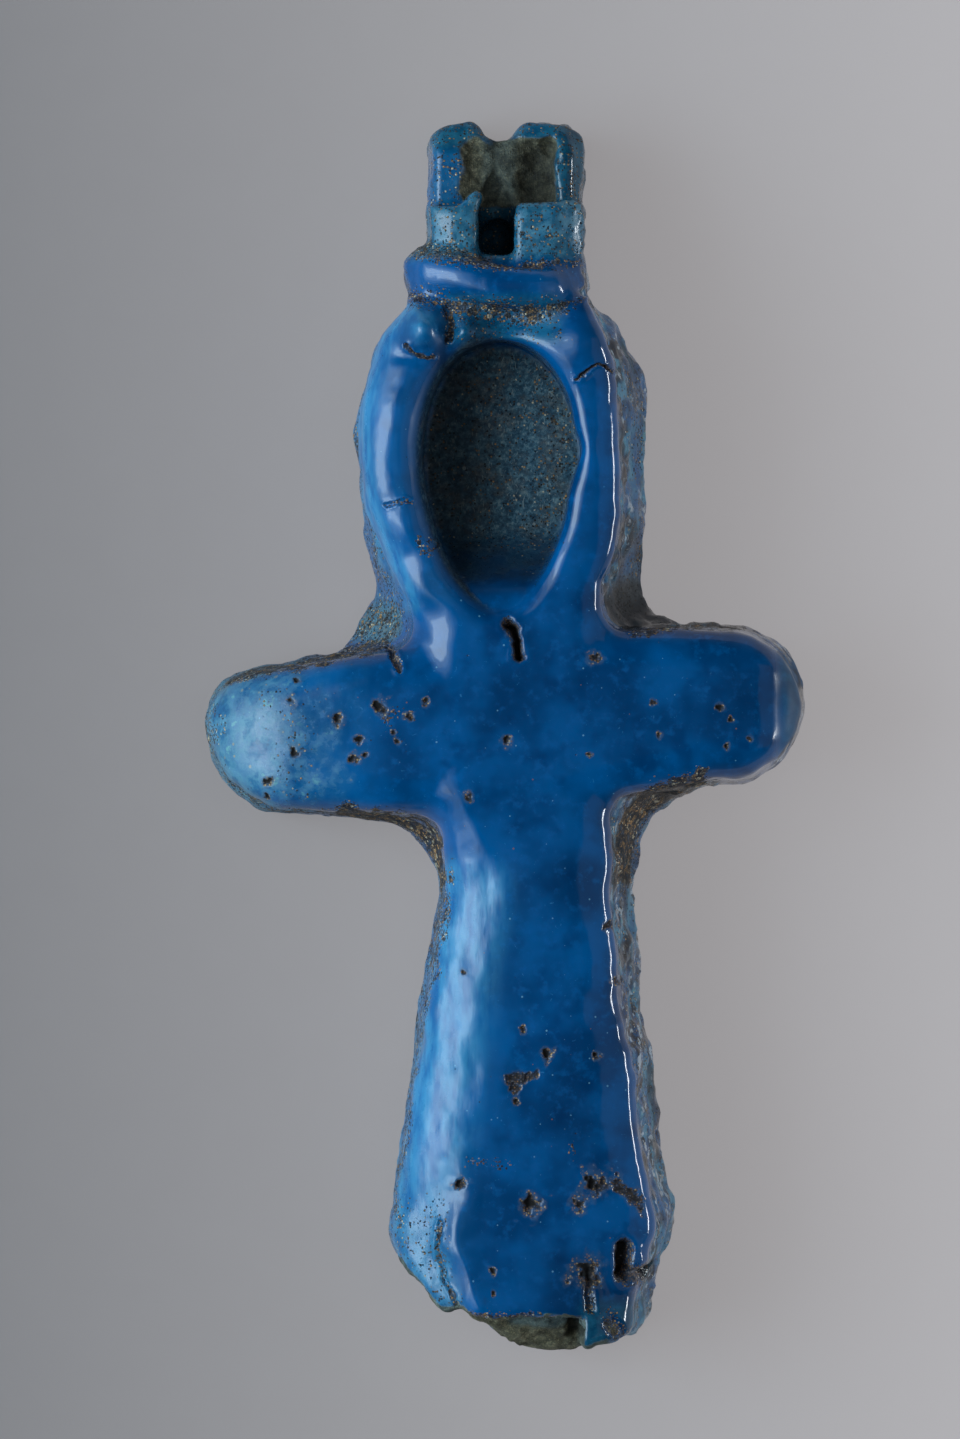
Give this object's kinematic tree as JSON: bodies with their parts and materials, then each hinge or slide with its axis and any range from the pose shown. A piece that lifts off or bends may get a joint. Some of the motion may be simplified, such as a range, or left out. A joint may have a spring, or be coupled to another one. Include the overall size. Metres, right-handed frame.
{
  "type": "ankh amulet",
  "caption": "Flat-backed blue glazed faience ankh amulet with looped top, rounded arms, flaring shaft, broken suspension lug and broken foot.",
  "frame": {"origin": "middle of the outline, on the flat back it lies on", "axes": "+Z out of the moulded face, +Y from the foot to the suspension lug, +X towards the right arm's end as the face is seen"},
  "size_m": [0.0154, 0.0312, 0.0052],
  "materials": {
    "glazed_faience": "glossy deep turquoise-blue glaze with small pits, worn pale at one arm's end, brown dirt in the hollows and bare grey-green core at the breaks"
  },
  "bodies": {
    "root": {"ankh_amulet": "glazed_faience"}
  },
  "joints": []
}
